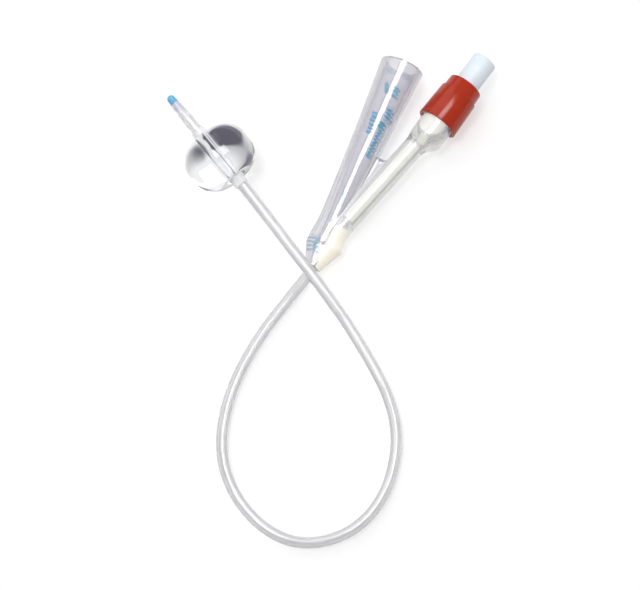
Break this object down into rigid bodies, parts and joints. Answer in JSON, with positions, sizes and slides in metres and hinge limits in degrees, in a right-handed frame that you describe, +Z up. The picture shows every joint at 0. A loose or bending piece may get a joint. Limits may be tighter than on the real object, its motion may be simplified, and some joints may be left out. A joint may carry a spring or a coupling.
{
  "type": "foley urinary catheter",
  "caption": "Clear silicone two-way balloon catheter with a filled balloon, blue tip, Y-shaped drainage funnel and a valved inflation arm with a red size sleeve.",
  "frame": {"origin": "on the table, under the middle of the moulded pieces: the Y moulding with its valve, the balloon and the tip", "axes": "+Z up, away from the table; +Y along the table in the direction of the drainage funnel's mouth; +X towards the side of the inflation arm"},
  "size_m": [0.1281, 0.1934, 0.0255],
  "materials": {
    "clear_silicone": "smooth glassy silicone with a faint grey-lilac tint",
    "tip_silicone": "smooth translucent silicone, faintly blue",
    "blue_silicone": "soft satin",
    "balloon_silicone": "thin, very clear and wet-looking",
    "red_plastic": "satin gloss",
    "white_plastic": "satin, slightly blue white",
    "seal_rubber": "dull black",
    "spring_steel": "drawn wire"
  },
  "bodies": {
    "catheter": {"shaft_tube": "clear_silicone", "tip_moulding": "tip_silicone", "tip_cap": "blue_silicone", "balloon": "balloon_silicone", "y_connector": "clear_silicone", "size_sleeve": "red_plastic", "valve_body": "white_plastic", "valve_spring": "spring_steel", "valve_retainer": "white_plastic"},
    "plunger": {"valve_plunger": "white_plastic", "valve_seal": "seal_rubber"}
  },
  "joints": [
    {"name": "plunger_push", "type": "slide", "parent": "catheter", "child": "plunger", "axis": [-0.2357, -0.9702, -0.0557], "range_m": [0, 0.0015], "stiffness_N_per_m": 600, "deforming": ["valve_spring"]}
  ]
}
